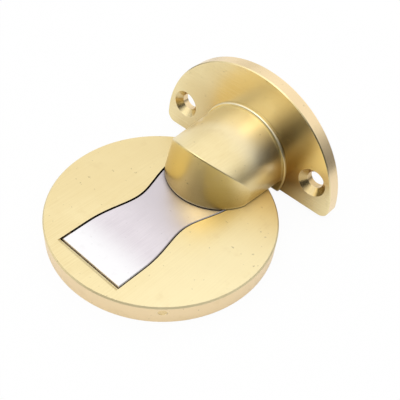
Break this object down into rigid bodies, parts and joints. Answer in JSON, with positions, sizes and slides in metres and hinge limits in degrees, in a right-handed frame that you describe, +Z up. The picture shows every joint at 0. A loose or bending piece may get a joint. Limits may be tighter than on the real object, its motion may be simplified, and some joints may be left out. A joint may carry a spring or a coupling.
{
  "type": "concealed magnetic door stop",
  "caption": "Low round floor disc with a flush hinged steel flap that a half-round magnetic boss on a door plate holds, to stop and hold an open door.",
  "frame": {"origin": "centre of the floor disc's underside, on the floor", "axes": "+Z up from the floor, +Y from the floor disc towards the door plate, +X to the side along the hinge pin"},
  "size_m": [0.065, 0.0714, 0.0355],
  "materials": {
    "satin_gold": "satin brushed gold plating",
    "flap_steel": "brushed along its length",
    "pin_brass": "drawn, its end dressed off with the disc's rim and plated",
    "magnet_nickel": "nickel plated",
    "screw_zinc": "bright zinc plated"
  },
  "bodies": {
    "floor_unit": {"floor_disc": "satin_gold", "hinge_pin": "pin_brass"},
    "catch": {"catch_flap": "flap_steel", "door_plate": "satin_gold", "magnet_boss": "satin_gold", "magnet": "magnet_nickel", "boss_screws": "screw_zinc"}
  },
  "joints": [
    {"name": "flap_hinge", "type": "hinge", "parent": "floor_unit", "child": "catch", "pos_m": [0, -0.0229, 0.0042], "axis": [1, 0, 0], "range_deg": [0, 90]}
  ]
}
